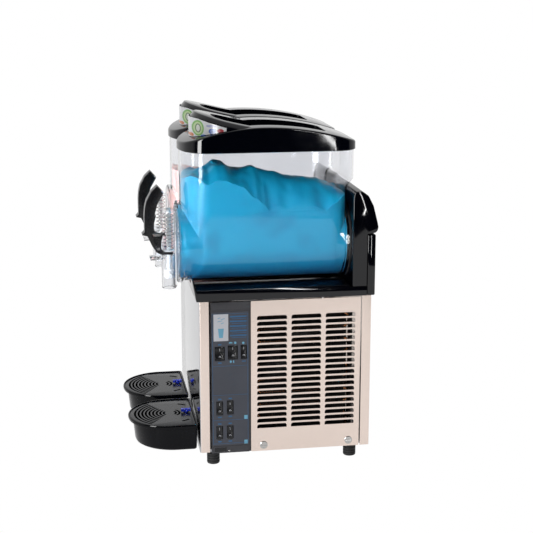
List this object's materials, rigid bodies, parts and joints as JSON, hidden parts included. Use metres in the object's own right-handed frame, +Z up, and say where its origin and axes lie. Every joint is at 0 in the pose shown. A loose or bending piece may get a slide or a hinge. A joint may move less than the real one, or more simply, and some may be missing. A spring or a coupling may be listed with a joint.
{
  "type": "slush machine",
  "caption": "Countertop frozen-drink machine: clear bowls with augers, lids, sprung pull taps and drip trays on a louvred steel cabinet.",
  "frame": {"origin": "on the table, under the middle of the bounding box", "axes": "+Z up, -Y towards the taps and drip trays, +X towards the control panel side"},
  "size_m": [0.4, 0.525, 0.7516],
  "materials": {
    "front_steel": "mirror-bright polished stainless",
    "side_steel": "brushed stainless",
    "galvanised": "galvanised sheet",
    "fascia_grey": "matt printed membrane",
    "rocker_black": "satin black switch plastic",
    "foot_rubber": "matt black rubber",
    "screw_steel": "bright plated steel",
    "gloss_black": "high-gloss black moulding",
    "black_plastic": "plain black plastic",
    "clear_plastic": "clear polycarbonate",
    "auger_white": "food-grade white plastic",
    "drum_steel": "satin stainless",
    "gasket_rubber": "black silicone rubber",
    "machine_grey": "grey enamel",
    "aluminium": "plain aluminium",
    "spring_steel": "bright stainless wire",
    "piston_white": "white plastic",
    "handle_black": "satin black grip",
    "label_white": "printed film with plain fruit shapes",
    "tray_black": "glossy black tray plastic",
    "grid_black": "satin dark grid plastic",
    "float_blue": "blue plastic"
  },
  "bodies": {
    "machine": {"base_pan": "galvanised", "front_panel": "front_steel", "rear_panel": "side_steel", "right_grille_panel": "side_steel", "left_grille_panel": "side_steel", "control_fascia": "fascia_grey", "foot_front_right": "foot_rubber", "foot_front_left": "foot_rubber", "foot_rear_right": "foot_rubber", "foot_rear_left": "foot_rubber", "panel_screw_front": "screw_steel", "panel_screw_rear": "screw_steel", "deck": "gloss_black", "tower": "gloss_black", "rear_cover": "gloss_black", "power_inlet": "black_plastic", "compressor": "machine_grey", "condenser": "aluminium", "fan_shroud": "black_plastic", "fan_motor": "machine_grey", "electrics_box": "machine_grey", "right_gearmotor": "machine_grey", "right_freezing_drum": "drum_steel", "right_bowl_gasket": "gasket_rubber", "left_gearmotor": "machine_grey", "left_freezing_drum": "drum_steel", "left_bowl_gasket": "gasket_rubber"},
    "fan": {"fan_blade": "aluminium"},
    "right_auger_body": {"right_auger": "auger_white"},
    "right_bowl_body": {"right_bowl": "clear_plastic", "right_tap_body": "clear_plastic", "right_tap_spring": "spring_steel", "right_handle_pin": "drum_steel"},
    "right_lid_body": {"right_lid": "gloss_black", "right_lid_label": "label_white"},
    "right_handle_body": {"right_tap_handle": "handle_black"},
    "right_piston_body": {"right_tap_piston": "piston_white"},
    "right_tray_body": {"right_drip_tray": "tray_black"},
    "right_grid_body": {"right_drip_grid": "grid_black"},
    "right_float_body": {"right_tray_float": "float_blue"},
    "left_auger_body": {"left_auger": "auger_white"},
    "left_bowl_body": {"left_bowl": "clear_plastic", "left_tap_body": "clear_plastic", "left_tap_spring": "spring_steel", "left_handle_pin": "drum_steel"},
    "left_lid_body": {"left_lid": "gloss_black", "left_lid_label": "label_white"},
    "left_handle_body": {"left_tap_handle": "handle_black"},
    "left_piston_body": {"left_tap_piston": "piston_white"},
    "left_tray_body": {"left_drip_tray": "tray_black"},
    "left_grid_body": {"left_drip_grid": "grid_black"},
    "left_float_body": {"left_tray_float": "float_blue"},
    "switch_main_body": {"switch_main": "rocker_black"},
    "switch_mixer_body": {"switch_mixer": "rocker_black"},
    "switch_light_body": {"switch_light": "rocker_black"},
    "switch_right_auger_body": {"switch_right_auger": "rocker_black"},
    "switch_right_chill_body": {"switch_right_chill": "rocker_black"},
    "switch_left_auger_body": {"switch_left_auger": "rocker_black"},
    "switch_left_chill_body": {"switch_left_chill": "rocker_black"}
  },
  "joints": [
    {"name": "fan_spin", "type": "hinge", "parent": "machine", "child": "fan", "pos_m": [0.125, 0.109, 0.197], "axis": [1, 0, 0], "continuous": true},
    {"name": "right_auger_spin", "type": "hinge", "parent": "machine", "child": "right_auger_body", "pos_m": [0.1, 0, 0.476], "axis": [0, 1, 0], "continuous": true},
    {"name": "right_bowl_slide", "type": "slide", "parent": "machine", "child": "right_bowl_body", "axis": [0, -1, 0], "range_m": [0, 0.34]},
    {"name": "right_lid_lift", "type": "slide", "parent": "right_bowl_body", "child": "right_lid_body", "axis": [0, 0, 1], "range_m": [0, 0.12]},
    {"name": "right_handle_pull", "type": "hinge", "parent": "right_bowl_body", "child": "right_handle_body", "pos_m": [0.1, -0.1906, 0.4648], "axis": [1, 0, 0], "range_deg": [0, 30], "stiffness_Nm_per_rad": 0.8, "springref_deg": -28.65},
    {"name": "right_piston_lift", "type": "slide", "parent": "right_bowl_body", "child": "right_piston_body", "axis": [0, 0, 1], "range_m": [0, 0.019], "deforming": ["right_tap_spring"]},
    {"name": "right_tray_pull", "type": "slide", "parent": "machine", "child": "right_tray_body", "axis": [0, -1, 0], "range_m": [0, 0.16]},
    {"name": "right_grid_lift", "type": "slide", "parent": "right_tray_body", "child": "right_grid_body", "axis": [0, 0, 1], "range_m": [0, 0.05]},
    {"name": "right_float_rise", "type": "slide", "parent": "right_grid_body", "child": "right_float_body", "axis": [0, 0, 1], "range_m": [0, 0.01]},
    {"name": "left_auger_spin", "type": "hinge", "parent": "machine", "child": "left_auger_body", "pos_m": [-0.1, 0, 0.476], "axis": [0, 1, 0], "continuous": true},
    {"name": "left_bowl_slide", "type": "slide", "parent": "machine", "child": "left_bowl_body", "axis": [0, -1, 0], "range_m": [0, 0.34]},
    {"name": "left_lid_lift", "type": "slide", "parent": "left_bowl_body", "child": "left_lid_body", "axis": [0, 0, 1], "range_m": [0, 0.12]},
    {"name": "left_handle_pull", "type": "hinge", "parent": "left_bowl_body", "child": "left_handle_body", "pos_m": [-0.1, -0.1906, 0.4648], "axis": [1, 0, 0], "range_deg": [0, 30], "stiffness_Nm_per_rad": 0.8, "springref_deg": -28.65},
    {"name": "left_piston_lift", "type": "slide", "parent": "left_bowl_body", "child": "left_piston_body", "axis": [0, 0, 1], "range_m": [0, 0.019], "deforming": ["left_tap_spring"]},
    {"name": "left_tray_pull", "type": "slide", "parent": "machine", "child": "left_tray_body", "axis": [0, -1, 0], "range_m": [0, 0.16]},
    {"name": "left_grid_lift", "type": "slide", "parent": "left_tray_body", "child": "left_grid_body", "axis": [0, 0, 1], "range_m": [0, 0.05]},
    {"name": "left_float_rise", "type": "slide", "parent": "left_grid_body", "child": "left_float_body", "axis": [0, 0, 1], "range_m": [0, 0.01]},
    {"name": "switch_main_rock", "type": "hinge", "parent": "machine", "child": "switch_main_body", "pos_m": [0.193, -0.0732, 0.2535], "axis": [0, 1, 0], "range_deg": [0, 14]},
    {"name": "switch_mixer_rock", "type": "hinge", "parent": "machine", "child": "switch_mixer_body", "pos_m": [0.193, -0.0457, 0.2553], "axis": [0, 1, 0], "range_deg": [0, 14]},
    {"name": "switch_light_rock", "type": "hinge", "parent": "machine", "child": "switch_light_body", "pos_m": [0.193, -0.0225, 0.2553], "axis": [0, 1, 0], "range_deg": [0, 14]},
    {"name": "switch_right_auger_rock", "type": "hinge", "parent": "machine", "child": "switch_right_auger_body", "pos_m": [0.193, -0.0743, 0.1333], "axis": [0, 1, 0], "range_deg": [0, 14]},
    {"name": "switch_right_chill_rock", "type": "hinge", "parent": "machine", "child": "switch_right_chill_body", "pos_m": [0.193, -0.052, 0.1343], "axis": [0, 1, 0], "range_deg": [0, 14]},
    {"name": "switch_left_auger_rock", "type": "hinge", "parent": "machine", "child": "switch_left_auger_body", "pos_m": [0.193, -0.0747, 0.0785], "axis": [0, 1, 0], "range_deg": [0, 14]},
    {"name": "switch_left_chill_rock", "type": "hinge", "parent": "machine", "child": "switch_left_chill_body", "pos_m": [0.193, -0.0523, 0.0788], "axis": [0, 1, 0], "range_deg": [0, 14]}
  ],
  "couplings": [
    {"joint": "right_piston_lift", "follows": "right_handle_pull", "m_per_rad": 0.0355},
    {"joint": "left_piston_lift", "follows": "left_handle_pull", "m_per_rad": 0.0355}
  ]
}
